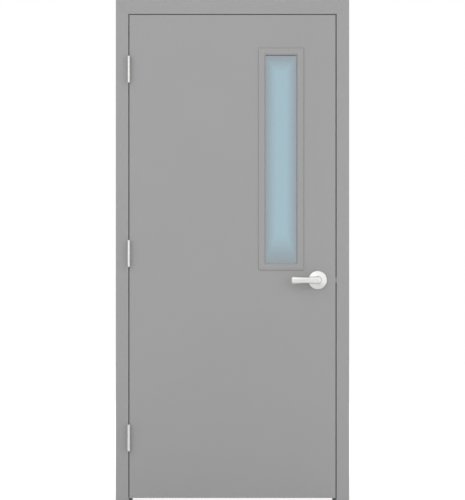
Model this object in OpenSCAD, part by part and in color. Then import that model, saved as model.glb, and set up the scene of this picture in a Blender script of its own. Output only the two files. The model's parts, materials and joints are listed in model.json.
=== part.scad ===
// Flush hollow-steel door in a pressed-steel frame, with a narrow lite, three butt hinges and a lever latch.
// The frame stands on z = 0, centred on x and y. The pull side, where the hinge barrels show, faces -y.

/* [Frame] */
// Width of the frame over its two jambs
frame_w = 1026; // [900:1:1300]
// Height of the frame from the floor
frame_h = 2210; // [2150:1:2500]
// Depth of the frame from front to back
frame_d = 146; // [130:1:200]
// Width of the jamb faces
jamb_face = 56; // [50:1:80]
// Width of the head face
head_face = 64; // [50:1:120]
// Depth of the rabbet that the door closes into
rabbet_d = 49.2; // [48:0.1:52]
// Height of the stop above the rabbet
stop_h = 16; // [12:1:20]
// Length of the returns along the frame's open back
return_l = 13; // [10:1:18]
// Thickness of the frame sheet
frame_t = 1.5; // [1.2:0.1:2]
// Inner radius of the frame bends
frame_bend = 1.6; // [1:0.1:2.5]
// Gap at the mitred corners, measured upright
mitre_gap = 0.3; // [0.2:0.1:0.6]

/* [Floor anchors] */
// Thickness of the anchor plate
anchor_t = 3; // [2:0.5:5]
// Height of the anchor ears
anchor_h = 55; // [40:1:80]
// Length of the anchor from front to back
anchor_l = 128; // [110:1:130]
// Distance from the back of the jamb to the anchor bolts
anchor_bolt_in = 26; // [20:1:32]
// Distance between the two bolts of one anchor
anchor_bolt_pitch = 70; // [50:1:90]
// Radius of the anchor bolt holes
anchor_bolt_r = 5.5; // [4:0.5:7]

/* [Door leaf] */
// Thickness of the leaf
door_t = 44.5; // [42:0.5:45]
// Clearance between the leaf and the frame
door_gap = 3.2; // [2.8:0.1:4]
// Clearance under the leaf
floor_gap = 19; // [12:1:25]
// Thickness of the face sheets
skin_t = 1.2; // [0.9:0.1:1.6]
// Inner radius of the face sheet bends
skin_bend = 1.5; // [1:0.1:2]
// Bevel of the lock edge, as run over depth
edge_bevel = 0.0625; // [0.04:0.0025:0.07]
// Width of the seam between the face sheets
seam_gap = 0.4; // [0.3:0.1:0.8]
// Height of the end channels
channel_h = 25; // [18:1:40]
// Thickness of the end channels
channel_t = 1.5; // [1.2:0.1:2]
// Spacing of the core stiffeners
stiffener_pitch = 150; // [120:5:160]
// Width of the stiffener flanges
stiffener_flange = 18; // [12:1:20]
// Thickness of the stiffeners
stiffener_t = 0.9; // [0.7:0.1:1.2]

/* [Lite] */
// Width of the lite kit over its frame
lite_w = 198; // [160:1:220]
// Height of the lite kit over its frame
lite_h = 976; // [600:1:1100]
// Distance from the lock edge to the lite kit
lite_side = 141; // [135:1:180]
// Distance from the top of the leaf to the lite kit
lite_drop = 146; // [120:1:200]
// Width of the lite frame's face
lite_face = 31; // [29:1:36]
// Overlap of the lite frame on the face sheet
lite_lap = 14; // [12:0.5:15]
// Height of the lite frame above the face sheet
lite_rise = 7; // [6:0.5:9]
// Distance from the lite frame's outer edge to its flat land
lite_land_in = 12; // [10:0.5:13]
// Width of the lite frame's flat land
lite_land_w = 12; // [8:0.5:13]
// Height of the lite frame's outer edge
lite_edge = 4; // [3:0.5:5]
// Thickness of the lite frame sheet
lite_t = 1.2; // [1:0.1:1.5]
// Inner radius of the lite frame bends
lite_bend = 1; // [0.8:0.1:1.3]
// Distance from the cut-out to the lite frame's foot
lite_foot_gap = 1.5; // [1:0.1:2]
// Distance from the cut-out to the edge of the glass
glass_gap = 8; // [7:0.5:9]
// Thickness of the glass
glass_t = 6; // [5:0.5:8]
// Thickness of the glazing tape
tape_t = 1.6; // [1:0.1:2.5]
// Distance from the edge of the glass to the glazing tape
tape_gap = 1; // [0.5:0.1:2]
// Screws along each upright of the lite frame
lite_screw_rows = 4; // [2:1:6]
// Shank radius of the lite screws
lite_screw_r = 1.8; // [1.5:0.1:2]
// Distance from the cut-out to the lite screws
lite_screw_gap = 4.4; // [4:0.1:4.8]

/* [Hinges] */
// Height of a hinge
hinge_h = 114.3; // [100:0.1:130]
// Distance from the foot of the leaf to the bottom hinge's centre
hinge_low = 266; // [180:1:330]
// Distance from the top of the leaf to the top hinge's centre
hinge_high = 240; // [180:1:330]
// Thickness of a hinge leaf
leaf_t = 3.4; // [3:0.1:4]
// Depth of a hinge leaf behind the door's face
leaf_reach = 38; // [36:1:40]
// Distance from the door's face out to the pin
pin_out = 19; // [16:1:24]
// Radius of the knuckles
knuckle_r = 6.7; // [6:0.1:7.5]
// Gap between knuckles
knuckle_gap = 0.3; // [0.2:0.05:0.6]
// Radius of the pin
pin_r = 3.1; // [2.5:0.1:3.5]
// Radial running clearance of the pin
pin_fit = 0.05; // [0.02:0.01:0.1]
// Height of the pin's button tips
tip_h = 2.4; // [2:0.1:4]
// Thickness of the reinforcement plates
plate_t = 4.5; // [3:0.5:5]
// Length of a reinforcement plate past each end of its pocket
plate_past = 45; // [30:1:60]
// Distance from the door's face to the nearer hinge screws
hole_near = 11; // [9:0.5:12]
// Distance from the door's face to the farther hinge screws
hole_far = 27; // [24:0.5:30]

/* [Screws] */
// Head radius of the hinge and strike screws
screw_head_r = 5.4; // [4.5:0.1:6]
// Head height of the hinge and strike screws
screw_head_h = 2.2; // [1.8:0.1:2.4]
// Shank radius of the hinge and strike screws
screw_r = 2.7; // [2:0.1:3]
// Length of the hinge and strike screws
screw_l = 13; // [10:1:16]

/* [Lever set] */
// Height of the lever axis above the floor
lever_z = 977; // [880:1:1100]
// Distance from the middle of the lock edge to the lever axis
backset = 78; // [70:1:95]
// Radius of the rose
rose_r = 41.5; // [38:0.5:45]
// Height of the rose
rose_h = 12; // [11:0.5:15]
// Thickness of the rose shell
rose_t = 1.5; // [1:0.1:2]
// Radius of the lever shank
shank_r = 11; // [9:0.5:12]
// Distance from the door's face to the middle of the lever arm
lever_out = 52; // [45:1:60]
// Length of the lever from its axis to its tip
lever_l = 117; // [95:1:130]
// Height of the lever at its hub
hub_h = 33; // [28:0.5:36]
// Height of the lever at its neck
neck_h = 26.5; // [18:0.5:28]
// Distance from the lever's axis to its neck
neck_l = 52; // [40:1:60]
// Height of the lever grip near its tip
grip_h = 31; // [22:0.5:32]
// Corner radius of the lever's tip
tip_r = 9; // [6:0.5:11]
// Thickness of the lever grip
grip_t = 11; // [9:0.5:14]
// Width across the flats of the spindle
spindle_w = 8; // [7:0.5:9]
// Length of the spindle inside each lever
spindle_in = 26; // [18:1:30]
// Radius of the rose bolts
rose_bolt_r = 2.5; // [2:0.1:3]

/* [Latch] */
// Thickness of the latch case
case_t = 16; // [14:0.5:18]
// Height of the latch case
case_h = 52; // [50:1:54]
// Depth of the latch case behind the lever axis
case_back = 26; // [25:1:30]
// Wall of the latch case
case_wall = 1.2; // [1:0.1:1.5]
// Width of the latch face plate
face_w = 28; // [25:1:32]
// Height of the latch face plate
face_h = 92; // [84:1:110]
// Thickness of the latch face plate
face_t = 2.4; // [2:0.1:3]
// Width of the latch bolt
bolt_w = 12.4; // [11:0.2:12.6]
// Height of the latch bolt
bolt_h = 20; // [18:1:22]
// Length of the latch bolt's head inside the lock edge
bolt_in = 26; // [24:0.5:28]
// Projection of the latch bolt
bolt_throw = 12.7; // [11:0.1:13]
// Length of the hub's arm
arm_l = 18; // [16:0.5:18.5]
// Radius of the hub's bearings
hub_r = 8; // [7:0.5:9]

/* [Strike] */
// Height of the strike plate
strike_h = 124; // [110:1:140]
// Width of the strike plate
strike_w = 32; // [28:1:34]
// Thickness of the strike plate
strike_t = 2.4; // [2:0.1:3]
// Height of the strike lip
lip_h = 38; // [30:1:46]
// Reach of the strike lip in front of the frame
lip_out = 2.5; // [2:0.5:8]
// Depth of the box behind the strike
box_d = 14; // [11:0.5:16]

/* [Silencers] */
// Radius of a silencer's button
silencer_r = 6; // [5:0.5:7]
// Gap between a silencer and the closed leaf
silencer_gap = 0.2; // [0.1:0.05:0.4]

/* [Clearances] */
// Clearance round a leaf, plate or strip let into a pocket
pocket_gap = 0.25; // [0.15:0.05:0.4]
// Clearance between welded pieces
weld_gap = 0.1; // [0.05:0.05:0.2]
// Clearance round a screw in its hole
screw_gap = 0.1; // [0.05:0.05:0.2]
// Radial running clearance of the shanks and the hub
turn_fit = 0.06; // [0.02:0.01:0.1]
// Clearance between moving faces in the lock
slide_gap = 0.4; // [0.3:0.05:0.6]

/* [Hidden] */
$fn = 48;
bend_steps = 5;
through = 200;
past = 5;
hole_out = 1;

y_front = -frame_d / 2;
y_back = frame_d / 2;
x_rabbet = frame_w / 2 - jamb_face;
z_rabbet = frame_h - head_face;
y_stop = y_front + rabbet_d;

door_x = x_rabbet - door_gap;
door_top = z_rabbet - door_gap;
door_h = door_top - floor_gap;
y_mid = y_front + door_t / 2;
y_rear = y_front + door_t;
bevel_angle = atan(edge_bevel);
edge_mid_x = door_x - edge_bevel * door_t / 2;
edge_back_x = door_x - edge_bevel * door_t;

HINGES = ["bottom", "middle", "top"];
hinge_ends = [floor_gap + hinge_low, door_top - hinge_high];
hinge_z = [hinge_ends[0], (hinge_ends[0] + hinge_ends[1]) / 2, hinge_ends[1]];
pin_x = -x_rabbet + door_gap / 2;
pin_y = y_front - pin_out;
knuckles = 5;
knuckle_h = (hinge_h - knuckle_gap * (knuckles - 1)) / knuckles;
plate_y = 6;
joggle_l = 8;
joggle_clear = 1.5;
hinge_holes = [for (i = [0 : 3]) [i == 0 || i == 3 ? hole_near : hole_far, hinge_h * (i - 1.5) * 0.25]];

lite_x = door_x - lite_side - lite_w / 2;
lite_z = door_top - lite_drop - lite_h / 2;
cutout_w = lite_w - 2 * lite_lap;
cutout_h = lite_h - 2 * lite_lap;
glass_in = lite_lap + glass_gap;
tape_in = glass_in + tape_gap;
lite_foot = door_t / 2 - glass_t / 2 - tape_t - weld_gap;
lite_screw_in = lite_lap + lite_screw_gap;
lite_foot_in = lite_lap + lite_foot_gap;

axis_x = edge_mid_x - backset;
shank_from = 0.5;
rose_plate_r = 34;
rose_plate_t = 3;
rose_bolt_z = case_h / 2 + 4;
rose_post_r = rose_bolt_r + 1;
rose_post_l = 8;
bearing_r = shank_r + 5;
bearing_h = 7;
spring_wire = 1;

arm_t = 5;
tail_t = 6;
tail_low = norm([arm_l, arm_t / 2]) + slide_gap;
tail_high = case_h / 2 - case_wall - slide_gap;
hub_flange = 1.5;
hook_low = hub_r + hub_flange + slide_gap;
hook_t = 5;
hook_gap = 0.9;
case_front = backset - face_t / cos(bevel_angle) - case_t / 2 * edge_bevel - weld_gap;
bolt_rear = backset - bolt_in;
rib_x = hub_r + 15;
rib_t = 2;

strike_y = y_mid;
strike_front = strike_y - strike_w / 2;
strike_bolt_hole = [bolt_w + 6, bolt_h + 6];
silencer_stem = 3;
silencer_x = x_rabbet - stop_h / 2;

steel_grey = [0.63, 0.63, 0.63];
zinc_grey = [0.72, 0.73, 0.74];
satin_steel = [0.82, 0.82, 0.81];
dark_rubber = [0.25, 0.25, 0.26];
pale_glass = [0.64, 0.75, 0.78];

// Folded sheet: a strip of even thickness along a path of flats, with a round bend at each corner.
function unit(v) = v / norm(v);
function leftward(v) = [-v[1], v[0]];
function turned(v, a) = [v[0] * cos(a) - v[1] * sin(a), v[0] * sin(a) + v[1] * cos(a)];
function reversed(list) = [for (i = [len(list) - 1 : -1 : 0]) list[i]];
function corner_arc(before, at, after, r, side) =
    let (
        a = unit(at - before),
        b = unit(after - at),
        s = a[0] * b[1] - a[1] * b[0] < 0 ? -1 : 1,
        turn = acos(max(-1, min(1, a * b))),
        centre = at - a * r * tan(turn / 2) + s * leftward(a) * r,
        from = -s * leftward(a) * (r - s * side)
    )
    [for (i = [0 : bend_steps]) centre + turned(from, s * turn * i / bend_steps)];
function strip_side(path, r, side) =
    let (last = len(path) - 1)
    concat(
        [path[0] + leftward(unit(path[1] - path[0])) * side],
        [for (i = [1 : last - 1]) each corner_arc(path[i - 1], path[i], path[i + 1], r, side)],
        [path[last] + leftward(unit(path[last] - path[last - 1])) * side]
    );
module folded_sheet(path, t, bend) {
    polygon(concat(strip_side(path, bend + t / 2, t / 2), reversed(strip_side(path, bend + t / 2, -t / 2))));
}

// Box between two corners.
module span(low, high) {
    translate(low)
    cube(high - low);
}

// Countersunk screw along +x with its head flush at x = 0, and the hole for one, which runs out past x = 0.
module countersunk(gap, length, out) {
    flare = (screw_head_r - screw_r) / screw_head_h;
    rotate([0, 90, 0]) {
        translate([0, 0, -out])
        cylinder(h = screw_head_h + out, r1 = screw_head_r + gap + flare * out, r2 = screw_r + gap);
        cylinder(h = length, r = screw_r + gap);
    }
}
module countersunk_hole(length) {
    countersunk(screw_gap, length, hole_out);
}
module countersunk_screw() {
    slot = [1.4, screw_head_r];
    difference() {
        countersunk(0, screw_l, 0);
        for (turn = [0, 90])
            rotate([turn, 0, 0])
            span([-1, -slot[0] / 2, -slot[1] / 2], [slot[0], slot[0] / 2, slot[1] / 2]);
    }
}

// Round wire wound into a coil about +z, as one swept tube.
function coil_point(r, pitch, a) = [r * cos(a), r * sin(a), pitch * a / 360];
module coil(r, wire, pitch, turns, sides, steps) {
    rings = turns * steps;
    points = [
        for (i = [0 : rings], k = [0 : sides - 1])
        let (a = 360 * i / steps, w = 360 * k / sides, p = coil_point(r, pitch, a))
        p + [wire * cos(w) * cos(a), wire * cos(w) * sin(a), wire * sin(w)]
    ];
    walls = [
        for (i = [0 : rings - 1], k = [0 : sides - 1])
        let (n = (k + 1) % sides)
        [i * sides + k, i * sides + n, (i + 1) * sides + n, (i + 1) * sides + k]
    ];
    caps = [[for (k = [sides - 1 : -1 : 0]) k], [for (k = [0 : sides - 1]) rings * sides + k]];
    polyhedron(points, [for (f = concat(walls, caps)) reversed(f)]);
}

// Frame members: one folded profile, laid out from its open back to the doorway and from front to back.
function member_path(face) =
    let (a = frame_t / 2, near = rabbet_d + a, far = frame_d - rabbet_d - a, tip = face + stop_h - a)
    [
        [a, return_l], [a, a], [face - a, a], [face - a, near], [tip, near],
        [tip, far], [face - a, far], [face - a, frame_d - a], [a, frame_d - a], [a, frame_d - return_l]
    ];
module member(face, length) {
    linear_extrude(length)
    folded_sheet(member_path(face), frame_t, frame_bend);
}

// Mitre line at the left corner: outer corner, inner corner, then 45 degrees through the stops.
function mitre_line() =
    let (
        outer = [-frame_w / 2, frame_h],
        inner = [-x_rabbet, z_rabbet],
        reach = stop_h + past
    )
    [outer + (outer - inner) * 0.2, inner, inner + [reach, -reach]];
module across_frame(points) {
    translate([0, y_back + past, 0])
    rotate([90, 0, 0])
    linear_extrude(frame_d + 2 * past)
    polygon(points);
}
module head_side() {
    line = mitre_line();
    across_frame(concat(line, [[line[2][0], frame_h + through], [line[0][0], frame_h + through]]));
}
module jamb_side() {
    line = mitre_line();
    across_frame(concat(line, [[-frame_w / 2 - through, line[2][1]], [-frame_w / 2 - through, line[0][1]]]));
}
module jamb() {
    difference() {
        translate([-frame_w / 2, y_front, 0])
        member(jamb_face, frame_h);
        translate([0, 0, -mitre_gap])
        head_side();
    }
}

// Pocket for a hinge leaf, let into the rabbet or the edge of the door along +x.
module leaf_pocket() {
    half = hinge_h / 2 + pocket_gap;
    span([-past, -past, -half], [leaf_t + weld_gap, leaf_reach + pocket_gap, half]);
}
module strike_pocket() {
    plate = [strike_w / 2 + pocket_gap, strike_h / 2 + pocket_gap];
    lip = lip_h / 2 + pocket_gap;
    deep = strike_t + weld_gap / 2;
    translate([x_rabbet, 0, lever_z]) {
        span([-past, strike_y - plate[0], -plate[1]], [deep, strike_y + plate[0], plate[1]]);
        span([-past, y_front - past, -lip], [deep, strike_y, lip]);
    }
}
module hinge_jamb() {
    color(steel_grey)
    difference() {
        jamb();
        for (z = hinge_z)
            translate([-x_rabbet, y_front, z])
            mirror([1, 0, 0])
            leaf_pocket();
    }
}
module strike_jamb() {
    color(steel_grey)
    difference() {
        mirror([1, 0, 0])
        jamb();
        strike_pocket();
        for (z = hinge_z)
            translate([silencer_x, y_stop - past, z])
            rotate([-90, 0, 0])
            cylinder(h = 2 * past, r = silencer_stem + screw_gap);
    }
}
module frame_head() {
    color(steel_grey)
    difference() {
        translate([-frame_w / 2, y_front, frame_h])
        rotate([0, 90, 0])
        member(head_face, frame_w);
        jamb_side();
        mirror([1, 0, 0])
        jamb_side();
    }
}

// Floor anchor: a folded foot with two ears welded behind the rabbets of the jamb.
module floor_anchor() {
    inside = jamb_face - frame_t - weld_gap;
    ear_gap = frame_d - 2 * rabbet_d + 8;
    a = anchor_t / 2;
    translate([-frame_w / 2, 0, 0])
    difference() {
        translate([0, anchor_l / 2, 0])
        rotate([90, 0, 0])
        linear_extrude(anchor_l)
        folded_sheet([[return_l / 2, a], [inside - a, a], [inside - a, anchor_h]], anchor_t, frame_bend);
        translate([inside - anchor_t - past, -ear_gap / 2, anchor_t + frame_bend])
        cube([anchor_t + 2 * past, ear_gap, anchor_h]);
        for (y = [-anchor_bolt_pitch / 2, anchor_bolt_pitch / 2])
            translate([anchor_bolt_in, y, -past])
            cylinder(h = anchor_t + 2 * past, r = anchor_bolt_r);
    }
}
module hinge_floor_anchor() {
    color(zinc_grey)
    floor_anchor();
}
module strike_floor_anchor() {
    color(zinc_grey)
    mirror([1, 0, 0])
    floor_anchor();
}

// Reinforcement plate with its middle set back behind a pocket, from x = 0 at the sheet's outer face.
module joggled_plate(flat, sheet, pocket, width) {
    near = sheet + weld_gap + plate_t / 2;
    far = pocket + weld_gap + plate_t / 2;
    half = flat / 2 + joggle_l + plate_past;
    rise = flat / 2 + joggle_l;
    translate([0, width, 0])
    rotate([90, 0, 0])
    linear_extrude(width)
    folded_sheet(
        [[near, -half], [near, -rise], [far, -flat / 2], [far, flat / 2], [near, rise], [near, half]],
        plate_t, frame_bend
    );
}
module hinge_plate(sheet, tray) {
    flat = hinge_h + (tray > 0 ? 2 * (pocket_gap + tray + joggle_clear) : 0);
    difference() {
        translate([0, plate_y, 0])
        joggled_plate(flat, sheet, leaf_t + (tray > 0 ? weld_gap + tray : 0), leaf_reach - plate_y);
        hinge_screw_holes();
    }
}
module hinge_screw_holes() {
    for (h = hinge_holes)
        translate([0, h[0], h[1]])
        countersunk_hole(screw_l + past);
}
module frame_hinge_plate(i) {
    color(zinc_grey)
    translate([-x_rabbet, y_front, hinge_z[i]])
    mirror([1, 0, 0])
    hinge_plate(frame_t, 0);
}
module door_hinge_plate(i) {
    color(zinc_grey)
    translate([-door_x, y_front, hinge_z[i]])
    hinge_plate(skin_t, skin_t);
}

// Butt hinge: leaves about the pin, the door's leaf on the +x side.
module leaf(turns) {
    inner = door_gap / 2;
    clear = knuckle_r + slide_gap;
    half = hinge_h / 2;
    step = knuckle_h + knuckle_gap;
    difference() {
        union() {
            span([inner, clear, -half], [inner + leaf_t, pin_out + leaf_reach, half]);
            for (i = turns)
                translate([0, 0, i * step - half]) {
                    cylinder(h = knuckle_h, r = knuckle_r);
                    span([inner, 0, 0], [inner + leaf_t, clear + past, knuckle_h]);
                }
        }
        cylinder(h = hinge_h + 2 * past, r = pin_r + pin_fit, center = true);
        for (h = hinge_holes)
            translate([inner, pin_out + h[0], h[1]])
            countersunk_hole(screw_l);
    }
}
module door_leaf(i) {
    color(satin_steel)
    translate([pin_x, pin_y, hinge_z[i]])
    leaf([1, 3]);
}
module frame_leaf(i) {
    color(satin_steel)
    translate([pin_x, pin_y, hinge_z[i]])
    mirror([1, 0, 0])
    leaf([0, 2, 4]);
}
module hinge_pin(i) {
    button_r = knuckle_r - 0.5;
    half = hinge_h / 2 + weld_gap;
    button = [[pin_r, half], [button_r, half], [button_r, half + tip_h / 2], [button_r * 0.6, half + tip_h]];
    under = [for (p = reversed(button)) [p[0], -p[1]]];
    color(satin_steel)
    translate([pin_x, pin_y, hinge_z[i]])
    rotate_extrude()
    polygon(concat([[0, -half - tip_h]], under, button, [[0, half + tip_h]]));
}
module frame_hinge_screws() {
    color(satin_steel)
    for (z = hinge_z, h = hinge_holes)
        translate([-x_rabbet, y_front + h[0], z + h[1]])
        rotate([0, 0, 180])
        countersunk_screw();
}
module door_hinge_screws() {
    color(satin_steel)
    for (z = hinge_z, h = hinge_holes)
        translate([-door_x, y_front + h[0], z + h[1]])
        countersunk_screw();
}

// Strike: a plate let into the rabbet, with a lip that curls in front of the frame.
module strike_plate() {
    a = strike_t / 2;
    front = strike_front - y_front;
    lip = [[a, strike_w + front], [a, -lip_out], [a + lip_out, -lip_out - lip_out / 2]];
    color(satin_steel)
    difference() {
        translate([x_rabbet, y_front, lever_z]) {
            span([0, front, -strike_h / 2], [strike_t, front + strike_w, strike_h / 2]);
            translate([0, 0, -lip_h / 2])
            linear_extrude(lip_h)
            folded_sheet(lip, strike_t, lip_out * 0.8);
        }
        strike_bolt_opening();
        strike_holes();
    }
}
module strike_bolt_opening() {
    half = strike_bolt_hole / 2;
    translate([x_rabbet, strike_y, lever_z])
    span([-past, -half[0], -half[1]], [past + plate_t, half[0], half[1]]);
}
module strike_holes() {
    for (side = [-1, 1])
        translate([x_rabbet, strike_y, lever_z + side * (strike_h / 2 - 14)])
        countersunk_hole(screw_l + past);
}
module strike_reinforcement() {
    color(zinc_grey)
    difference() {
        translate([x_rabbet, strike_y - strike_w / 2 + 2, lever_z])
        joggled_plate(strike_h, frame_t, strike_t, strike_w - 4);
        strike_bolt_opening();
        strike_holes();
    }
}
module strike_box() {
    half = strike_bolt_hole / 2;
    wall = [case_wall, case_wall];
    from = strike_t + plate_t + 2 * weld_gap;
    color(zinc_grey)
    translate([x_rabbet + from, strike_y, lever_z])
    difference() {
        span(concat([0], -half - wall), concat([box_d], half + wall));
        span(concat([-past], -half), concat([box_d - case_wall], half));
    }
}
module strike_screws() {
    color(satin_steel)
    for (side = [-1, 1])
        translate([x_rabbet, strike_y, lever_z + side * (strike_h / 2 - 14)])
        countersunk_screw();
}

// Silencer: a rubber button snapped through the stop.
module silencer(i) {
    head = rabbet_d - door_t - silencer_gap;
    back = frame_t + weld_gap;
    color(dark_rubber)
    translate([silencer_x, y_stop, hinge_z[i]])
    rotate([-90, 0, 0])
    rotate_extrude()
    polygon([
        [0, -head], [silencer_r - 1.5, -head], [silencer_r, -head + 1.5], [silencer_r, -weld_gap],
        [silencer_stem, -weld_gap], [silencer_stem, back], [silencer_stem + 1.2, back + 0.4],
        [silencer_stem - 1, back + 5], [0, back + 5]
    ]);
}

// Face sheets: folded pans that meet at a seam in the middle of each edge, with trays pressed in for the
// hinge leaves and the latch face.
module sheet(front) {
    a = skin_t / 2;
    seam = seam_gap / 2;
    y_face = front ? y_front + a : y_rear - a;
    y_seam = front ? y_mid - seam : y_mid + seam;
    lock_x = front ? door_x : edge_back_x;
    path = [[-door_x + a, y_seam], [-door_x + a, y_face], [lock_x - a, y_face], [edge_mid_x - a, y_seam]];
    difference() {
        union() {
            translate([0, 0, floor_gap])
            linear_extrude(door_h)
            folded_sheet(front ? path : reversed(path), skin_t, skin_bend);
            intersection() {
                edge_trays();
                span([-door_x, min(y_face, y_seam), floor_gap], [door_x, max(y_face, y_seam), door_top]);
            }
        }
        leaf_cuts();
    }
}
module edge_trays() {
    half = hinge_h / 2 + pocket_gap + skin_t;
    far = leaf_reach + pocket_gap + skin_t;
    for (z = hinge_z)
        translate([-door_x, y_front, z])
        span([skin_t / 2, 0, -half], [leaf_t + weld_gap + skin_t, far, half]);
    at_lock_edge()
    face_pocket(pocket_gap + skin_t, face_t + weld_gap / 2 + skin_t, -skin_t / 2);
}
module leaf_cuts() {
    for (z = hinge_z)
        translate([-door_x, y_front, z]) {
            leaf_pocket();
            hinge_screw_holes();
        }
    translate([lite_x, y_mid, lite_z])
    cube([cutout_w, through, cutout_h], center = true);
    translate([axis_x, y_mid, lever_z])
    rotate([90, 0, 0]) {
        cylinder(h = through, r = shank_r + 2, center = true);
        for (side = [-1, 1])
            translate([0, side * rose_bolt_z, 0])
            cylinder(h = through, r = rose_post_r + slide_gap, center = true);
    }
    case_hole();
    at_lock_edge() {
        face_pocket(pocket_gap, face_t + weld_gap / 2, past);
        latch_screw_places()
        countersunk_hole(screw_l + past);
    }
}
module front_sheet() {
    color(steel_grey)
    sheet(true);
}
module back_sheet() {
    color(steel_grey)
    sheet(false);
}

// End channels and stiffeners between the face sheets.
inner_front = y_front + skin_t + weld_gap;
inner_rear = y_rear - skin_t - weld_gap;
module end_channel() {
    a = channel_t / 2;
    low = -channel_h + a;
    left = -door_x + skin_t + skin_bend;
    right = edge_back_x - skin_t - skin_bend;
    near = inner_front + a;
    far = inner_rear - a;
    translate([left, 0, 0])
    rotate([90, 0, 90])
    linear_extrude(right - left)
    folded_sheet([[near, 0], [near, low], [far, low], [far, 0]], channel_t, skin_bend);
}
module top_channel() {
    color(zinc_grey)
    translate([0, 0, door_top])
    end_channel();
}
module bottom_channel() {
    color(zinc_grey)
    translate([0, 0, floor_gap])
    mirror([0, 0, 1])
    end_channel();
}
stile_x = (lite_x + cutout_w / 2 + axis_x - case_back) / 2;
stiffener_x = concat([for (i = [1 : 3]) -door_x + stiffener_pitch * i], [stile_x]);
module core_stiffener(i) {
    a = stiffener_t / 2;
    x = stiffener_x[i];
    low = floor_gap + channel_h + weld_gap;
    high = door_top - channel_h - weld_gap;
    near = inner_front + a;
    far = inner_rear - a;
    path = [[x - stiffener_flange, near], [x, near], [x, far], [x + stiffener_flange, far]];
    color(zinc_grey)
    translate([0, 0, low])
    linear_extrude(high - low)
    folded_sheet(path, stiffener_t, skin_bend);
}

// Lite: two mitred frames clamp the glass between tapes, screwed together from the back.
function lite_path() =
    let (a = lite_t / 2, land = lite_rise - a, leg = lite_face - a, foot = -lite_foot + a)
    [
        [a, weld_gap], [a, lite_edge], [lite_land_in, land], [lite_land_in + lite_land_w, land],
        [leg, lite_rise * 0.2], [leg, foot], [lite_foot_in, foot]
    ];
module lite_side_bar(length, away) {
    deep = lite_face + past;
    half = length / 2;
    low = -away / 2;
    intersection() {
        translate([-half, 0, low])
        rotate([180, -90, 0])
        linear_extrude(length)
        folded_sheet(lite_path(), lite_t, lite_bend);
        rotate([90, 0, 0])
        linear_extrude(through, center = true)
        polygon([[-half, low], [half, low], [half - deep, low + deep], [-half + deep, low + deep]]);
    }
}
module lite_frame(from) {
    difference() {
        for (k = [0 : 3])
            rotate([0, 90 * k, 0])
            lite_side_bar(k % 2 == 0 ? lite_w : lite_h, k % 2 == 0 ? lite_h : lite_w);
        translate([0, lite_foot + past, 0])
        rotate([90, 0, 0])
        lite_screw_places()
        cylinder(h = lite_foot + past - from, r = lite_screw_r + screw_gap);
    }
}
module lite_screw_places() {
    across = lite_w / 2 - lite_screw_in;
    up = lite_h / 2 - lite_screw_in;
    reach = up - lite_face;
    for (side = [-1, 1], i = [0 : lite_screw_rows - 1])
        translate([side * across, -reach + 2 * reach * i / (lite_screw_rows - 1)])
        children();
    for (side = [-1, 1])
        translate([0, side * up])
        children();
}
module front_lite_frame() {
    color(steel_grey)
    translate([lite_x, y_front, lite_z])
    lite_frame(0);
}
module back_lite_frame() {
    color(steel_grey)
    translate([lite_x, y_rear, lite_z])
    mirror([0, 1, 0])
    lite_frame(-lite_rise - past);
}
module pane(inset, t) {
    cube([lite_w - 2 * inset, t, lite_h - 2 * inset], center = true);
}
module lite_glass() {
    color(pale_glass)
    translate([lite_x, y_mid, lite_z])
    pane(glass_in, glass_t);
}
module glazing_tape(side) {
    translate([lite_x, y_mid + side * (glass_t + tape_t + weld_gap) / 2, lite_z])
    difference() {
        pane(tape_in, tape_t);
        pane(lite_face, tape_t + past);
    }
}
module front_glazing_tape() {
    color(dark_rubber)
    glazing_tape(-1);
}
module back_glazing_tape() {
    color(dark_rubber)
    glazing_tape(1);
}
module lite_screws() {
    head_r = lite_screw_r * 2;
    head_h = 1.6;
    length = door_t + lite_rise - lite_foot + lite_t + 1;
    color(zinc_grey)
    translate([lite_x, y_rear + lite_rise + weld_gap, lite_z])
    rotate([90, 0, 0])
    lite_screw_places() {
        translate([0, 0, -head_h])
        cylinder(h = head_h, r1 = head_r * 0.7, r2 = head_r);
        cylinder(h = length, r = lite_screw_r);
    }
}

// Latch: a case let into the bevelled lock edge, with a hub whose arm draws the bolt back.
module at_lock_edge() {
    translate([edge_mid_x, y_mid, lever_z])
    rotate([0, 0, bevel_angle])
    children();
}
module face_pocket(gap, deep, proud) {
    half = [face_w / 2 + gap, face_h / 2 + gap];
    span(concat([-deep], -half), concat([proud], half));
}
module case_hole() {
    hole = [case_t / 2 + slide_gap, case_h / 2 + slide_gap];
    at_axis()
    span(concat([0], -hole), concat([backset + past], hole));
}
module latch_screw_places() {
    for (side = [-1, 1])
        translate([0, 0, side * (face_h + case_h) / 4])
        rotate([0, 0, 180])
        children();
}
module at_axis() {
    translate([axis_x, y_mid, lever_z])
    children();
}
module bolt_hole() {
    head = [bolt_w / 2 + slide_gap / 2, bolt_h / 2 + slide_gap / 2];
    at_axis()
    span(concat([case_front - past], -head), concat([backset + past], head));
}
module latch_case() {
    half = [case_t / 2, case_h / 2];
    inside = half - [case_wall, case_wall];
    cheek = half[0] - case_wall / 2;
    color(zinc_grey) {
        difference() {
            at_axis()
            span(concat([-case_back], -half), concat([case_front], half));
            at_axis()
            span(concat([-case_back + case_wall], -inside), concat([case_front - case_wall], inside));
            at_axis()
            rotate([90, 0, 0])
            cylinder(h = through, r = hub_r + turn_fit, center = true);
            bolt_hole();
        }
        at_axis()
        span([rib_x, -cheek, -bolt_h / 2], [rib_x + rib_t, cheek, bolt_h / 2]);
    }
}
module latch_face_plate() {
    color(satin_steel)
    difference() {
        at_lock_edge()
        face_pocket(0, face_t, 0);
        bolt_hole();
        at_lock_edge()
        latch_screw_places()
        countersunk_hole(screw_l);
    }
}
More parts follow.
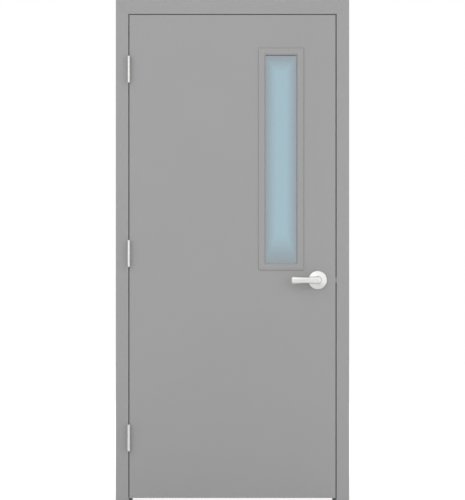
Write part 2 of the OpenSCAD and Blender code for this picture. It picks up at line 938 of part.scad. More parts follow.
module lock_reinforcement() {
    width = face_w - 4;
    flat = face_h + 2 * (pocket_gap + skin_t + joggle_clear);
    color(zinc_grey)
    difference() {
        at_lock_edge()
        translate([0, -width / 2, 0])
        mirror([1, 0, 0])
        joggled_plate(flat, skin_t, face_t + weld_gap / 2 + skin_t, width);
        case_hole();
        at_lock_edge()
        latch_screw_places()
        countersunk_hole(screw_l + past);
    }
}
module latch_screws() {
    color(satin_steel)
    at_lock_edge()
    latch_screw_places()
    countersunk_screw();
}
module latch_bolt() {
    tip = backset + bolt_throw;
    half = bolt_w / 2;
    hook_face = -arm_t / 2 - hook_gap;
    ramp = backset + 1.5;
    color(satin_steel)
    at_axis() {
        translate([0, 0, -bolt_h / 2])
        linear_extrude(bolt_h)
        polygon([[bolt_rear, -half], [tip, -half], [tip, 3 - half], [ramp, half], [bolt_rear, half]]);
        span([bolt_rear - hook_t, -tail_t / 2, 0], [bolt_rear + 1, tail_t / 2, tail_high]);
        span([hook_face - hook_t, -tail_t / 2, tail_low], [bolt_rear, tail_t / 2, tail_high]);
        span([hook_face - hook_t, -tail_t / 2, hook_low], [hook_face, tail_t / 2, tail_high]);
    }
}
module latch_spring() {
    wire = 0.7;
    turns = 7;
    from = rib_x + rib_t + slide_gap / 2;
    to = bolt_rear - slide_gap / 2;
    color(satin_steel)
    at_axis()
    translate([from + wire, 0, -bolt_h / 4])
    rotate([0, 90, 0])
    coil(case_t / 4, wire, (to - from - 2 * wire) / turns, turns, 6, 14);
}
module latch_hub() {
    flange = case_t / 2 - case_wall - slide_gap;
    color(zinc_grey)
    at_axis()
    difference() {
        union() {
            rotate([90, 0, 0])
            cylinder(h = case_t, r = hub_r, center = true);
            rotate([90, 0, 0])
            cylinder(h = 2 * flange, r = hub_r + hub_flange, center = true);
            span([-arm_t / 2, -tail_t / 2, 0], [arm_t / 2, tail_t / 2, arm_l]);
        }
        cube([spindle_w + 2 * weld_gap, through, spindle_w + 2 * weld_gap], center = true);
    }
}

// Lever trim, drawn outwards along +z from the door's face with the arm along -x.
module outside() {
    translate([axis_x, y_front, lever_z])
    rotate([90, 0, 0])
    children();
}
module inside() {
    translate([0, 2 * y_mid, 0])
    mirror([0, 1, 0])
    outside()
    children();
}
module rose() {
    a = rose_t / 2;
    collar = shank_r + slide_gap;
    rim = rose_r - a;
    top = rose_h - a;
    path = [[rim, weld_gap], [rim, rose_h * 0.45], [bearing_r + 2, top], [collar, top]];
    color(satin_steel)
    rotate_extrude()
    folded_sheet(path, rose_t, rose_t * 1.5);
}
module outside_rose() {
    outside()
    rose();
}
module inside_rose() {
    inside()
    rose();
}
module rose_plate(post) {
    color(zinc_grey)
    difference() {
        union() {
            translate([0, 0, weld_gap])
            cylinder(h = rose_plate_t, r = rose_plate_r);
            cylinder(h = bearing_h, r = bearing_r);
            if (post)
                for (side = [-1, 1])
                    translate([0, side * rose_bolt_z, -rose_post_l])
                    cylinder(h = rose_post_l + rose_plate_t, r = rose_post_r);
        }
        cylinder(h = through, r = shank_r + turn_fit, center = true);
        for (side = [-1, 1])
            translate([0, side * rose_bolt_z, -rose_post_l - past])
            cylinder(h = rose_post_l + past + (post ? 0 : through), r = rose_bolt_r + screw_gap);
    }
}
module outside_rose_plate() {
    outside()
    rose_plate(true);
}
module inside_rose_plate() {
    inside()
    rose_plate(false);
}
module rose_bolts() {
    head_h = 1.8;
    length = door_t + rose_plate_t + weld_gap - slide_gap;
    color(zinc_grey)
    inside()
    for (side = [-1, 1])
        translate([0, side * rose_bolt_z, rose_plate_t + weld_gap]) {
            cylinder(h = head_h, r1 = rose_bolt_r * 1.8, r2 = rose_bolt_r * 1.5);
            translate([0, 0, -length])
            cylinder(h = length, r = rose_bolt_r);
        }
}
module return_spring() {
    color(satin_steel)
    translate([0, 0, rose_plate_t + weld_gap + spring_wire * 1.1])
    coil(bearing_r + 2 * spring_wire, spring_wire, 2.3 * spring_wire, 2, 6, 24);
}
module lever_springs() {
    outside()
    return_spring();
    inside()
    return_spring();
}

// Lever: a shank that flares into a lofted arm, which narrows to a neck and swells to a square-ended grip.
loft_rings = 34;
loft_sides = 28;
loft_end = 0.12;
arm_bow = 3;
hub_swell = 3;
flare_l = 14;
function smooth(t) = let (c = max(0, min(1, t))) c * c * (3 - 2 * c);
function chord(d, r) = d <= 0 ? r : sqrt(max(0, r * r - d * d));
function tip_in(x) = x - (lever_l - tip_r);
function closing(x) = chord(-x, hub_h / 2) / (hub_h / 2) * chord(tip_in(x), tip_r) / tip_r;
function side_half(x) =
    let (
        to_neck = (neck_h - hub_h) / 2 * smooth(x / neck_l),
        to_grip = (grip_h - neck_h) / 2 * smooth((x - neck_l) / (lever_l - neck_l))
    )
    x < 0 ? chord(-x, hub_h / 2) : hub_h / 2 + to_neck + to_grip - tip_r + chord(tip_in(x), tip_r);
function thick_half(x) = (grip_t + hub_swell * (1 - smooth(x / neck_l))) / 2 * pow(closing(x), 0.8);
function bow(x) = arm_bow * sin(180 * max(0, min(1, x / lever_l)));
function rounded(c) = sign(c) * pow(abs(c), 0.8);
function loft_x(i) =
    let (low = -hub_h / 2 + loft_end, high = lever_l - loft_end)
    (low + high) / 2 - (high - low) / 2 * cos(180 * i / loft_rings);
function loft_ring(i) =
    let (x = loft_x(i))
    [
        for (k = [0 : loft_sides - 1])
        let (a = 360 * k / loft_sides)
        [-x, side_half(x) * rounded(cos(a)), lever_out + bow(x) + thick_half(x) * rounded(sin(a))]
    ];
module arm() {
    points = [for (i = [0 : loft_rings]) each loft_ring(i)];
    walls = [
        for (i = [0 : loft_rings - 1], k = [0 : loft_sides - 1])
        let (n = (k + 1) % loft_sides)
        [i * loft_sides + k, i * loft_sides + n, (i + 1) * loft_sides + n, (i + 1) * loft_sides + k]
    ];
    first = [for (k = [loft_sides - 1 : -1 : 0]) k];
    last = [for (k = [0 : loft_sides - 1]) loft_rings * loft_sides + k];
    polyhedron(points, concat(walls, [first, last]));
}
module lever() {
    socket = spindle_w + 2 * weld_gap;
    grub_z = spindle_in - 7;
    color(satin_steel)
    difference() {
        union() {
            translate([0, 0, shank_from])
            cylinder(h = lever_out - shank_from, r = shank_r);
            translate([0, 0, lever_out - flare_l])
            cylinder(h = flare_l - grip_t / 4, r1 = shank_r, r2 = hub_h / 2 - hub_swell);
            arm();
        }
        translate([-socket / 2, -socket / 2, -past])
        cube([socket, socket, past + spindle_in + weld_gap]);
        translate([0, -shank_r - past, grub_z])
        rotate([-90, 0, 0])
        cylinder(h = shank_r + past, r = rose_bolt_r + screw_gap);
    }
}
module outside_lever() {
    outside()
    lever();
}
module inside_lever() {
    inside()
    lever();
}
module spindle() {
    color(zinc_grey)
    at_axis()
    cube([spindle_w, door_t + 2 * spindle_in, spindle_w], center = true);
}
module lever_grub() {
    color(zinc_grey)
    translate([0, -spindle_w / 2 - weld_gap, spindle_in - 7])
    rotate([90, 0, 0])
    cylinder(h = shank_r - spindle_w / 2 - 0.6, r = rose_bolt_r);
}
module lever_grub_screws() {
    outside()
    lever_grub();
    inside()
    lever_grub();
}

hinge_jamb();
strike_jamb();
frame_head();
hinge_floor_anchor();
strike_floor_anchor();
for (i = [0 : 2]) {
    frame_hinge_plate(i);
    frame_leaf(i);
    hinge_pin(i);
    silencer(i);
    door_hinge_plate(i);
    door_leaf(i);
}
for (i = [0 : 3])
    core_stiffener(i);
frame_hinge_screws();
strike_plate();
strike_reinforcement();
strike_box();
strike_screws();
front_sheet();
back_sheet();
top_channel();
bottom_channel();
door_hinge_screws();
front_lite_frame();
back_lite_frame();
lite_glass();
front_glazing_tape();
back_glazing_tape();
lite_screws();
lock_reinforcement();
latch_case();
latch_face_plate();
latch_screws();
latch_spring();
outside_rose();
inside_rose();
outside_rose_plate();
inside_rose_plate();
lever_springs();
rose_bolts();
outside_lever();
inside_lever();
spindle();
latch_hub();
lever_grub_screws();
latch_bolt();
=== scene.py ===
# %% [markdown]
# A steel door in its pressed-steel frame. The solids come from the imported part, already in metres
# and in their right places, so this lesson adds their finishes, the light and the camera. Each step
# is one short cell: first what the real thing is and how it could be made, then the code.

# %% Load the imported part
import json
import math

import bpy
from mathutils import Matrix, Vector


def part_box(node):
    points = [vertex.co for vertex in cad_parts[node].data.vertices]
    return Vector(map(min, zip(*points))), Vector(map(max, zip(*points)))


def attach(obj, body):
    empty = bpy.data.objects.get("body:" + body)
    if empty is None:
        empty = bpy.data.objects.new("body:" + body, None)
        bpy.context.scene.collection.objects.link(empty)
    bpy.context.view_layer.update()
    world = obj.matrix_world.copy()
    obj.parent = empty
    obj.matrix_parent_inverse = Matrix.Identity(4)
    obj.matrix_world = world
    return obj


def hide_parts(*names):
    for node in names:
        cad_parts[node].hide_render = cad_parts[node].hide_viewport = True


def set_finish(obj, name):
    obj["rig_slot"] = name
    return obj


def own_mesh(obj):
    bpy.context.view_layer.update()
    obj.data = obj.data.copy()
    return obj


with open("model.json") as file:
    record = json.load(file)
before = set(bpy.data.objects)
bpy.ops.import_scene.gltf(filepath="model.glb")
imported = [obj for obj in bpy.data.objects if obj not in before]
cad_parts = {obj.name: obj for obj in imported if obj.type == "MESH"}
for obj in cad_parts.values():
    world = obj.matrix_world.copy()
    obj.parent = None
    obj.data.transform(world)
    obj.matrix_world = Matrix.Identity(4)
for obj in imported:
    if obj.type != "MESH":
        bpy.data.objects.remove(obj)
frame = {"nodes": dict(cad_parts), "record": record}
nodes = frame["nodes"]
scene = bpy.context.scene
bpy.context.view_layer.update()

# %% [markdown]
# The picture looks straight at the pull side from far away, so upright lines stay upright and the
# head's underside hardly shows. A short lens close by would open the edges up. A long lens twelve
# metres off gives the flat look. One scale, millimetres to a pixel on the frame's face, sets both
# the lens and the height of the camera.

# %% Camera
PICTURE_HEIGHT = 500
FRAME_WIDTH_MM = 1026
FRAME_WIDTH_PIXELS = 233.4
HEAD_TOP_PIXEL = -0.4
CAMERA_AWAY = 12.0
CAMERA_REACH = 100.0
SENSOR_MM = 36.0

metres_per_pixel = FRAME_WIDTH_MM / FRAME_WIDTH_PIXELS / 1000
face_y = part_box("hinge_jamb")[0].y
head_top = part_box("frame_head")[1].z
camera_z = head_top - (PICTURE_HEIGHT / 2 - HEAD_TOP_PIXEL) * metres_per_pixel

camera_data = bpy.data.cameras.new("door_camera")
camera_data.sensor_fit = "VERTICAL"
camera_data.sensor_height = SENSOR_MM
camera_data.lens = SENSOR_MM * CAMERA_AWAY / (PICTURE_HEIGHT * metres_per_pixel)
camera_data.clip_end = CAMERA_REACH
camera = bpy.data.objects.new("door_camera", camera_data)
camera.location = (0, face_y - CAMERA_AWAY, camera_z)
camera.rotation_euler = (math.radians(90), 0, 0)
scene.collection.objects.link(camera)
scene.camera = camera
print("camera at z", round(camera_z, 4), "with a lens of", round(camera_data.lens, 1), "mm")

# %% [markdown]
# The light and the finishes are both small trees of nodes. They could be wired line by line, but a
# few kinds of node come back in each tree, so helpers make those. A value given to a helper is
# either another node's output, which is linked, or a plain number or colour, which is set.

# %% Helpers: sums, ramps and mixes
def feed(tree, value, socket):
    """Links a node's output to the socket, or sets a plain value on it."""
    if isinstance(value, bpy.types.NodeSocket):
        tree.links.new(value, socket)
    else:
        socket.default_value = value


def shown(sockets):
    """The sockets that a node offers for its present operation."""
    return [socket for socket in sockets if socket.enabled]


def math_node(tree, operation, first, second=0.0):
    """One Math node."""
    node = tree.nodes.new("ShaderNodeMath")
    node.operation = operation
    feed(tree, first, node.inputs[0])
    feed(tree, second, node.inputs[1])
    return node.outputs[0]


def vector_node(tree, operation, *values):
    """One Vector Math node; a length or a dot product gives a number."""
    node = tree.nodes.new("ShaderNodeVectorMath")
    node.operation = operation
    for value, socket in zip(values, shown(node.inputs)):
        feed(tree, value, socket)
    return shown(node.outputs)[0]


def mix_node(tree, kind, factor, first, second):
    """A mix that goes from first to second as the factor goes from 0 to 1."""
    node = tree.nodes.new("ShaderNodeMix")
    node.data_type = kind
    for value, socket in zip((factor, first, second), shown(node.inputs)):
        feed(tree, value, socket)
    return shown(node.outputs)[0]


def ramp_node(tree, value, low, high, to_low=0.0, to_high=1.0):
    """A smooth ramp from to_low to to_high while the value goes from low to high."""
    node = tree.nodes.new("ShaderNodeMapRange")
    node.interpolation_type = "SMOOTHSTEP"
    settings = {"Value": value, "From Min": low, "From Max": high, "To Min": to_low, "To Max": to_high}
    for label, setting in settings.items():
        feed(tree, setting, node.inputs[label])
    return node.outputs[0]


def ray_mask(tree, *kinds):
    """A mask that is 1 for rays of these kinds."""
    path = tree.nodes.new("ShaderNodeLightPath")
    mask = path.outputs[kinds[0]]
    for kind in kinds[1:]:
        mask = math_node(tree, "MAXIMUM", mask, path.outputs[kind])
    return mask


print("helpers for node trees are ready")

# %% [markdown]
# Catalogue light is even and comes from all round, a little more from above. One lamp alone would
# leave hard shadows in the gaps, so a pale sky does most of the work. The camera, and glass in
# front of it, see plain white through the Light Path node. Steel mirrors the same white from
# overhead and a duller tone at eye level, because a mirror in an all-white room would look flat.

# %% Sky
SKY_LIGHT = 0.5
SKY_MIRRORED_LOW = 0.52
SKY_MIRRORED_HIGH = 1.0
EYE_LEVEL, OVERHEAD = -0.1, 0.8
SEEN_RAYS = ("Is Camera Ray", "Is Transmission Ray")

world = bpy.data.worlds.new("studio")
world.use_nodes = True
scene.world = world
sky = world.node_tree
sky.nodes.clear()
sky_way = sky.nodes.new("ShaderNodeSeparateXYZ")
sky.links.new(sky.nodes.new("ShaderNodeTexCoord").outputs["Generated"], sky_way.inputs[0])
more_low = SKY_MIRRORED_LOW - SKY_LIGHT
more_high = SKY_MIRRORED_HIGH - SKY_LIGHT
more = ramp_node(sky, sky_way.outputs["Z"], EYE_LEVEL, OVERHEAD, more_low, more_high)
mirrored = math_node(sky, "MULTIPLY", ray_mask(sky, "Is Glossy Ray"), more)
unseen = math_node(sky, "ADD", SKY_LIGHT, mirrored)
sky_light = sky.nodes.new("ShaderNodeBackground")
sky_light.inputs["Color"].default_value = (1, 1, 1, 1)
sky_strength = math_node(sky, "MAXIMUM", unseen, ray_mask(sky, *SEEN_RAYS))
sky.links.new(sky_strength, sky_light.inputs["Strength"])
sky_out = sky.nodes.new("ShaderNodeOutputWorld")
sky.links.new(sky_light.outputs[0], sky_out.inputs["Surface"])
scene.view_settings.view_transform = "Standard"
print("sky lights at", SKY_LIGHT, "and is mirrored at", SKY_MIRRORED_LOW, "to", SKY_MIRRORED_HIGH)

# %% [markdown]
# The sky alone would leave the steel without shape. Lamps in front and behind give each fold a
# lighter and a darker side. Small ones would burn white spots into the lever and the rose, so each
# is metres wide and dim. The camera sees none of them, and neither does a ray through the pane.

# %% Lamps
LAMPS = {
    "key_lamp": {"at": (-2.6, -5.4, 3.5), "size": 6.2, "watts": 152},
    "fill_lamp": {"at": (3.4, -4.6, 2.3), "size": 4.4, "watts": 70},
    "back_lamp": {"at": (2.6, 5.4, 3.5), "size": 6.2, "watts": 165},
    "back_fill_lamp": {"at": (-3.4, 4.6, 2.3), "size": 4.4, "watts": 60},
}
LAMP_AIM = (0, 0, 1.1)

for name, lamp in LAMPS.items():
    light = bpy.data.lights.new(name, "AREA")
    light.shape = "SQUARE"
    light.size = lamp["size"]
    light.energy = lamp["watts"]
    holder = bpy.data.objects.new(name, light)
    holder.location = lamp["at"]
    away = holder.location - Vector(LAMP_AIM)
    holder.rotation_euler = away.to_track_quat("Z", "Y").to_euler()
    holder.visible_camera = False
    holder.visible_transmission = False
    scene.collection.objects.link(holder)
print("light from the sky and", len(LAMPS), "lamps")

# %% [markdown]
# The floor only has to be pale and take a soft shadow. A plain sheet wide enough for every view
# does that. Far from the door it glows where the camera or a mirroring surface sees it, so that it
# meets the white background without a line. Near the door it glows less, and the shadow stays.

# %% Floor
FLOOR_HALF = 14.0
FLOOR_DROP = 0.0006
FLOOR_COLOUR = (0.82, 0.82, 0.82, 1)
FLOOR_ROUGHNESS = 0.9
GLOW_NEAR, GLOW_FAR = 0.4, 0.6
NEAR_REACH, FAR_REACH = 1.2, 5.0


def part_place(tree):
    """Where a point lies on its own object, in metres."""
    return tree.nodes.new("ShaderNodeTexCoord").outputs["Object"]


floor_mesh = bpy.data.meshes.new("studio_floor")
turns = ((-1, -1), (1, -1), (1, 1), (-1, 1))
corners = [(x * FLOOR_HALF, y * FLOOR_HALF, -FLOOR_DROP) for x, y in turns]
floor_mesh.from_pydata(corners, [], [(0, 1, 2, 3)])
floor = bpy.data.objects.new("studio_floor", floor_mesh)
scene.collection.objects.link(floor)
floor_paint = bpy.data.materials.new("studio_floor")
floor_paint.use_nodes = True
floor_tree = floor_paint.node_tree
floor_shader = floor_tree.nodes["Principled BSDF"]
floor_shader.inputs["Base Color"].default_value = FLOOR_COLOUR
floor_shader.inputs["Roughness"].default_value = FLOOR_ROUGHNESS
floor_shader.inputs["Emission Color"].default_value = (1, 1, 1, 1)
floor_reach = vector_node(floor_tree, "LENGTH", part_place(floor_tree))
glow = ramp_node(floor_tree, floor_reach, NEAR_REACH, FAR_REACH, GLOW_NEAR, GLOW_FAR)
floor_seen = ray_mask(floor_tree, *SEEN_RAYS, "Is Glossy Ray")
floor_glow = math_node(floor_tree, "MULTIPLY", glow, floor_seen)
floor_tree.links.new(floor_glow, floor_shader.inputs["Emission Strength"])
floor_mesh.materials.append(floor_paint)
print("floor", 2 * FLOOR_HALF, "m wide")

# %% [markdown]
# No finish is one even colour. Paint has soft patches, brushed steel has lines and zinc has
# crystals, and each pattern shifts the colour and the gloss a little. That could be wired again in
# every material. A node group holds an effect once, with named inputs, and these helpers make a
# group, a noise and the shift that the patterns share.

# %% Helpers: groups, noise and drift
PATTERN_MIDDLE = 0.5
FINISH_OUTPUTS = {"Colour": "Color", "Roughness": "Float", "Height": "Float"}


def group_with(name, inputs, outputs):
    """A shader node group with named inputs {name: (kind, default)} and outputs {name: kind}."""
    made = bpy.data.node_groups.new(name, "ShaderNodeTree")
    for label, (kind, default) in inputs.items():
        socket = made.interface.new_socket(name=label, in_out="INPUT", socket_type="NodeSocket" + kind)
        socket.default_value = default
    for label, kind in outputs.items():
        made.interface.new_socket(name=label, in_out="OUTPUT", socket_type="NodeSocket" + kind)
    return made, made.nodes.new("NodeGroupInput").outputs, made.nodes.new("NodeGroupOutput").inputs


def noise_node(tree, place, scale, detail, roughness=0.5):
    """Noise over places on the part."""
    node = tree.nodes.new("ShaderNodeTexNoise")
    settings = {"Vector": place, "Scale": scale, "Detail": detail, "Roughness": roughness}
    for label, setting in settings.items():
        feed(tree, setting, node.inputs[label])
    return node.outputs["Fac"]


def drift_by(group, given, put_out, pattern, height):
    """Lets a pattern from 0 to 1 shift the group's colour and gloss, and puts out the height."""
    centred = math_node(group, "SUBTRACT", pattern, PATTERN_MIDDLE)
    change = math_node(group, "MULTIPLY", centred, given["Colour drift"])
    shade = math_node(group, "ADD", 1.0, change)
    gloss = math_node(group, "MULTIPLY", centred, given["Gloss drift"])
    roughness = math_node(group, "ADD", given["Roughness"], gloss)
    group.links.new(vector_node(group, "SCALE", given["Colour"], shade), put_out["Colour"])
    group.links.new(roughness, put_out["Roughness"])
    group.links.new(height, put_out["Height"])


print("groups put out", ", ".join(FINISH_OUTPUTS))

# %% [markdown]
# Sprayed primer and moulded rubber look alike up close: tone and gloss drift in broad patches, and
# a fine skin lies on top. Two sizes of noise give both, the broad one for the drift and the fine
# one for the height.

# %% Node group: surface drift
PATCH_DETAIL = 4
SKIN_DETAIL = 2

drift, drift_in, drift_out = group_with(
    "surface_drift",
    {
        "Colour": ("Color", (0.5, 0.5, 0.5, 1)),
        "Roughness": ("Float", 0.5),
        "Patch scale": ("Float", 3.0),
        "Colour drift": ("Float", 0.06),
        "Gloss drift": ("Float", 0.15),
        "Skin scale": ("Float", 900.0),
    },
    FINISH_OUTPUTS,
)
drift_place = part_place(drift)
patches = noise_node(drift, drift_place, drift_in["Patch scale"], PATCH_DETAIL)
skin = noise_node(drift, drift_place, drift_in["Skin scale"], SKIN_DETAIL)
drift_by(drift, drift_in, drift_out, patches, skin)
print("group", drift.name, "with", len(drift.nodes), "nodes")

# %% [markdown]
# Edges are where a finish first shows its age: primer is thin there and rubs pale, and steel
# polishes bright. The solids have no paint map to mark by hand. A Bevel node already looks around
# each point for a turn in the surface, so where its rounded normal leaves the true one there is an
# edge. Noise breaks the band up. The rounded normal goes out too, since no real edge is
# knife-sharp.

# %% Node group: edge wear
BEVEL_SAMPLES = 6
EDGE_STARTS, EDGE_FULL = 0.99, 0.8
WEAR_STARTS, WEAR_FULL = 0.38, 0.62
WEAR_DETAIL, WEAR_ROUGHNESS = 5, 0.65

wear, wear_in, wear_out = group_with(
    "edge_wear",
    {
        "Colour": ("Color", (0.5, 0.5, 0.5, 1)),
        "Roughness": ("Float", 0.5),
        "Worn colour": ("Color", (0.6, 0.6, 0.6, 1)),
        "Worn roughness": ("Float", 0.35),
        "Reach": ("Float", 0.001),
        "Patch scale": ("Float", 40.0),
    },
    {"Colour": "Color", "Roughness": "Float", "Normal": "Vector"},
)
bevel = wear.nodes.new("ShaderNodeBevel")
bevel.samples = BEVEL_SAMPLES
wear.links.new(wear_in["Reach"], bevel.inputs["Radius"])
rounded = bevel.outputs["Normal"]
true_normal = wear.nodes.new("ShaderNodeNewGeometry").outputs["Normal"]
turn = ramp_node(wear, vector_node(wear, "DOT_PRODUCT", rounded, true_normal), EDGE_STARTS, EDGE_FULL)
spots = noise_node(wear, part_place(wear), wear_in["Patch scale"], WEAR_DETAIL, WEAR_ROUGHNESS)
worn = math_node(wear, "MULTIPLY", turn, ramp_node(wear, spots, WEAR_STARTS, WEAR_FULL))
for label, kind in (("Colour", "RGBA"), ("Roughness", "FLOAT")):
    blend = mix_node(wear, kind, worn, wear_in[label], wear_in["Worn " + label.lower()])
    wear.links.new(blend, wear_out[label])
wear.links.new(rounded, wear_out["Normal"])
print("group", wear.name, "with", len(wear.nodes), "nodes")

# %% [markdown]
# A material takes a group, the wear if its edges show any, a Principled shader and a Bump node. The
# bump's distance is in metres, so a sprayed skin is under a tenth of a millimetre deep. What is the
# same all over the surface is set on the shader itself.

# %% Helper: a finish from a group
BUMP_STRENGTH = 0.3


def place_group(tree, group, values):
    """A group placed in a material with its own values."""
    placed = tree.nodes.new("ShaderNodeGroup")
    placed.node_tree = group
    for label, value in values.items():
        placed.inputs[label].default_value = value
    return placed


def make_finish(name, group, values, fixed, bump_distance, edges=None):
    """A material from a group, the wear of its edges and the shader's fixed sockets."""
    made = bpy.data.materials.new(name)
    made.use_nodes = True
    tree = made.node_tree
    shader = tree.nodes["Principled BSDF"]
    for label, value in fixed.items():
        shader.inputs[label].default_value = value
    effect = place_group(tree, group, values)
    bump = tree.nodes.new("ShaderNodeBump")
    bump.inputs["Strength"].default_value = BUMP_STRENGTH
    bump.inputs["Distance"].default_value = bump_distance
    tree.links.new(effect.outputs["Height"], bump.inputs["Height"])
    tree.links.new(bump.outputs["Normal"], shader.inputs["Normal"])
    surface = effect
    if edges:
        surface = place_group(tree, wear, edges)
        tree.links.new(effect.outputs["Colour"], surface.inputs["Colour"])
        tree.links.new(effect.outputs["Roughness"], surface.inputs["Roughness"])
        tree.links.new(surface.outputs["Normal"], bump.inputs["Normal"])
    tree.links.new(surface.outputs["Colour"], shader.inputs["Base Color"])
    tree.links.new(surface.outputs["Roughness"], shader.inputs["Roughness"])
    return made


print("a finish bumps with a strength of", BUMP_STRENGTH)

# %% [markdown]
# The door, its frame and the lite frames are galvanised sheet under flat grey primer, baked on at
# the works. A flat grey would look like plastic. Real primer is a dull neutral grey with a faint
# sprayed skin, and just enough gloss to lighten where the sheet turns. Handling rubs it a shade
# paler and smoother along the folds.

# %% Finish: grey primer
primer = make_finish(
    "grey_primer",
    drift,
    {
        "Colour": (0.341, 0.341, 0.341, 1),
        "Roughness": 0.56,
        "Patch scale": 2.2,
        "Colour drift": 0.07,
        "Gloss drift": 0.16,
        "Skin scale": 620.0,
    },
    {"Metallic": 0.0, "Specular IOR Level": 0.4},
    bump_distance=0.00008,
    edges={
        "Worn colour": (0.43, 0.43, 0.43, 1),
        "Worn roughness": 0.42,
        "Reach": 0.0012,
        "Patch scale": 26.0,
    },
)
print("primer on sheet steel:", primer.name)

# %% [markdown]
# Brushing leaves fine lines along one direction. A picture of brushed steel would need a paint map.
# Noise squeezed across the brush and stretched along it gives the lines without one. It varies the
# tone, the gloss and a slight bump, which is what the eye reads as satin.

# %% Node group: brushed lines
LINE_SCALE = 1.0
LINE_DETAIL = 3

brushed, brushed_in, brushed_out = group_with(
    "brushed_lines",
    {
        "Colour": ("Color", (0.7, 0.7, 0.7, 1)),
        "Roughness": ("Float", 0.3),
        "Across": ("Vector", (300.0, 300.0, 3000.0)),
        "Colour drift": ("Float", 0.1),
        "Gloss drift": ("Float", 0.2),
    },
    FINISH_OUTPUTS,
)
stretched = vector_node(brushed, "MULTIPLY", part_place(brushed), brushed_in["Across"])
lines = noise_node(brushed, stretched, LINE_SCALE, LINE_DETAIL)
drift_by(brushed, brushed_in, brushed_out, lines, lines)
print("group", brushed.name, "with", len(brushed.nodes), "nodes")

# %% [markdown]
# The lever set, the hinges, the latch, the strike and their screws are satin steel. The lever set
# is brushed along the lever. Hinges and plates are brushed along their height, so the two take the
# same group with the lines turned. Brushed metal spreads its highlights across the lines, which is
# the shader's anisotropy.

# %% Finish: satin steel
LINES_CLOSE = 2200.0
BRUSH_DRIFT = 0.3
BRUSH_DEPTH = 0.00002
BRUSH_PATCHES = 90.0

satin_lever = make_finish(
    "satin_steel_lever",
    brushed,
    {
        "Colour": (0.585, 0.585, 0.573, 1),
        "Roughness": 0.38,
        "Across": (120.0, LINES_CLOSE, LINES_CLOSE),
        "Colour drift": BRUSH_DRIFT,
        "Gloss drift": BRUSH_DRIFT,
    },
    {"Metallic": 1.0, "Anisotropic": 0.5},
    bump_distance=BRUSH_DEPTH,
    edges={
        "Worn colour": (0.7, 0.7, 0.686, 1),
        "Worn roughness": 0.22,
        "Reach": 0.0006,
        "Patch scale": BRUSH_PATCHES,
    },
)
satin_hinge = make_finish(
    "satin_steel_hinge",
    brushed,
    {
        "Colour": (0.608, 0.608, 0.596, 1),
        "Roughness": 0.32,
        "Across": (LINES_CLOSE, LINES_CLOSE, 90.0),
        "Colour drift": BRUSH_DRIFT,
        "Gloss drift": BRUSH_DRIFT,
    },
    {"Metallic": 1.0, "Anisotropic": 0.4, "Anisotropic Rotation": 0.25},
    bump_distance=BRUSH_DEPTH,
    edges={
        "Worn colour": (0.73, 0.73, 0.715, 1),
        "Worn roughness": 0.24,
        "Reach": 0.0005,
        "Patch scale": BRUSH_PATCHES,
    },
)
print("satin steel:", satin_lever.name, satin_hinge.name)

# %% [markdown]
# Inside the frame and the leaf the steel is galvanised. Zinc freezes in large flat crystals, each a
# little lighter or darker than the next. Noise would blur them together. Voronoi cells have the
# right shape, and each cell's own random colour gives its shade.

# %% Node group and finish: galvanised steel
spangle, spangle_in, spangle_out = group_with(
    "zinc_spangle",
    {
        "Colour": ("Color", (0.56, 0.57, 0.58, 1)),
        "Roughness": ("Float", 0.42),
        "Crystal scale": ("Float", 110.0),
        "Colour drift": ("Float", 0.25),
        "Gloss drift": ("Float", 0.18),
    },
    FINISH_OUTPUTS,
)
crystals = spangle.nodes.new("ShaderNodeTexVoronoi")
spangle.links.new(part_place(spangle), crystals.inputs["Vector"])
spangle.links.new(spangle_in["Crystal scale"], crystals.inputs["Scale"])
crystal_grey = spangle.nodes.new("ShaderNodeRGBToBW")
spangle.links.new(crystals.outputs["Color"], crystal_grey.inputs[0])
drift_by(spangle, spangle_in, spangle_out, crystal_grey.outputs[0], crystals.outputs["Distance"])
zinc = make_finish(
    "zinc_steel",
    spangle,
    {"Colour": (0.56, 0.57, 0.58, 1)},
    {"Metallic": 0.9},
    bump_distance=0.00001,
)
print("zinc:", zinc.name, "from group", spangle.name)

# %% [markdown]
# The silencers and the glazing tape are dull dark rubber with a soft skin. The primer's group makes
# it too, with smaller patches and a finer, deeper skin.

# %% Finish: rubber
rubber = make_finish(
    "rubber",
    drift,
    {
        "Colour": (0.055, 0.055, 0.057, 1),
        "Roughness": 0.72,
        "Patch scale": 60.0,
        "Colour drift": 0.3,
        "Gloss drift": 0.1,
        "Skin scale": 2600.0,
    },
    {"Specular IOR Level": 0.35},
    bump_distance=0.00012,
)
print("rubber:", rubber.name)

# %% [markdown]
# The pane is flat glass. Its edges lie in the shade of the lite frame, so it is clearest in the
# middle. That shade is painted into the glass's colour. A painted map could show it. A mask that
# grows towards the rim, measured from the pane's own sides, does it at any size of pane.

# %% Painted shade at the rim of the pane
RIM_SIDE = 0.062
RIM_TOP = 0.09
RIM_FOOT = 0.15

pane_low, pane_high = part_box("lite_glass")
pane_middle = (pane_low + pane_high) / 2
pane_half = (pane_high - pane_low) / 2


def rim_shade_mask(tree, place):
    """A mask of painted shade that is 0 in the clear middle of the pane and 1 at its rim."""
    apart = tree.nodes.new("ShaderNodeSeparateXYZ")
    tree.links.new(place, apart.inputs[0])
    sideways = math_node(tree, "SUBTRACT", apart.outputs["X"], pane_middle.x)
    from_middle = math_node(tree, "ABSOLUTE", sideways)
    side = ramp_node(tree, from_middle, pane_half.x - RIM_SIDE, pane_half.x)
    top = ramp_node(tree, apart.outputs["Z"], pane_high.z - RIM_TOP, pane_high.z)
    foot = ramp_node(tree, apart.outputs["Z"], pane_low.z, pane_low.z + RIM_FOOT, 1.0, 0.0)
    return math_node(tree, "MAXIMUM", side, math_node(tree, "MAXIMUM", top, foot))


print("pane", [round(2 * v, 4) for v in pane_half])
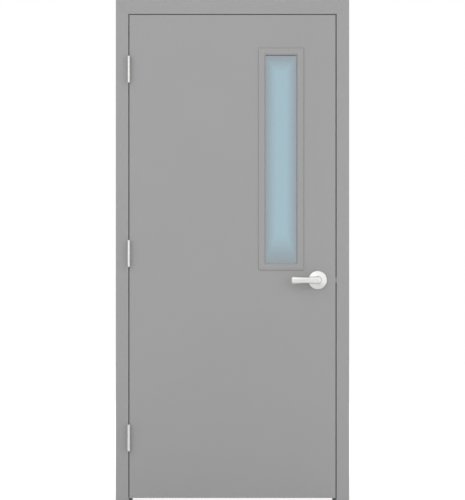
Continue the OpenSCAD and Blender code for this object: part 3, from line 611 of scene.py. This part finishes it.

# %% [markdown]
# The glass has a blue-green tint, and painted shade from the lite frame darkens it towards the rim.
# Wiping leaves faint smears, so noise dulls the surface by a touch. Apart from those two the shader
# stays plain glass, which lets the light through and mirrors the room by itself.

# %% Finish: tinted glass
PANE_TINT = (0.366, 0.51, 0.58, 1)
# The tint at the rim is darker: painted shade of the lite frame.
PANE_RIM_SHADE_TINT = (0.306, 0.357, 0.386, 1)
PANE_IOR = 1.5
SMEAR_SCALE, SMEAR_DETAIL = 14.0, 3
SMEAR_ROUGHNESS = 0.08

glass = bpy.data.materials.new("tinted_glass")
glass.use_nodes = True
glass_tree = glass.node_tree
glass_shader = glass_tree.nodes["Principled BSDF"]
glass_shader.inputs["Transmission Weight"].default_value = 1.0
glass_shader.inputs["IOR"].default_value = PANE_IOR
glass_shader.inputs["Metallic"].default_value = 0.0
glass_place = part_place(glass_tree)
rim_shade = rim_shade_mask(glass_tree, glass_place)
# Painted shade: the tint darkens towards the rim of the pane.
shaded_tint = mix_node(glass_tree, "RGBA", rim_shade, PANE_TINT, PANE_RIM_SHADE_TINT)
glass_tree.links.new(shaded_tint, glass_shader.inputs["Base Color"])
smears = noise_node(glass_tree, glass_place, SMEAR_SCALE, SMEAR_DETAIL)
smeared = math_node(glass_tree, "MULTIPLY", smears, SMEAR_ROUGHNESS)
glass_tree.links.new(smeared, glass_shader.inputs["Roughness"])
print("glass:", glass.name, "with", len(glass_tree.nodes), "nodes")

# %% [markdown]
# In the latch case a coil spring pushes the bolt out. When the lever draws the bolt back the coil
# shortens: one end stays against the case and the other goes with the bolt. A rigid coil would be
# cut through. Here a copy of the coil goes with the door in place of the imported one, which is
# hidden; nothing makes the copy shorten.

# %% Latch spring
coil = bpy.data.objects.new("latch_coil", nodes["latch_spring"].data.copy())
scene.collection.objects.link(coil)
coil.matrix_world = nodes["latch_spring"].matrix_world
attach(coil, "door")
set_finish(coil, "satin_steel")
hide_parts("latch_spring")
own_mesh(coil)

# %% [markdown]
# Each node now takes the finish of its slot in the record. Rolled and turned faces should shade
# smoothly and folded edges should stay crisp. Marking every edge by hand would take long, so the
# faces are all marked smooth and a modifier splits the shading at sharp edges.

# %% Give every node its finish
SHARP_EDGE = math.radians(32)
SLOT_FINISH = {
    "grey_primer": primer,
    "zinc_steel": zinc,
    "satin_steel": satin_lever,
    "tinted_glass": glass,
    "rubber": rubber,
}
BRUSHED_UPRIGHT = ("hinge", "_leaf", "strike", "latch")

slot_of = {row["node"]: row["material_slot"] for row in frame["record"]["subparts"]}
slot_of[coil.name] = coil["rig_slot"]
for name, piece in {**nodes, coil.name: coil}.items():
    wanted = SLOT_FINISH[slot_of[name]]
    if wanted is satin_lever and any(word in name for word in BRUSHED_UPRIGHT):
        wanted = satin_hinge
    piece.data.materials.clear()
    piece.data.materials.append(wanted)
    piece.data.polygons.foreach_set("use_smooth", [True] * len(piece.data.polygons))
    crisp = piece.modifiers.new("crisp_edges", "EDGE_SPLIT")
    crisp.split_angle = SHARP_EDGE
print("finishes on", len(slot_of), "pieces")
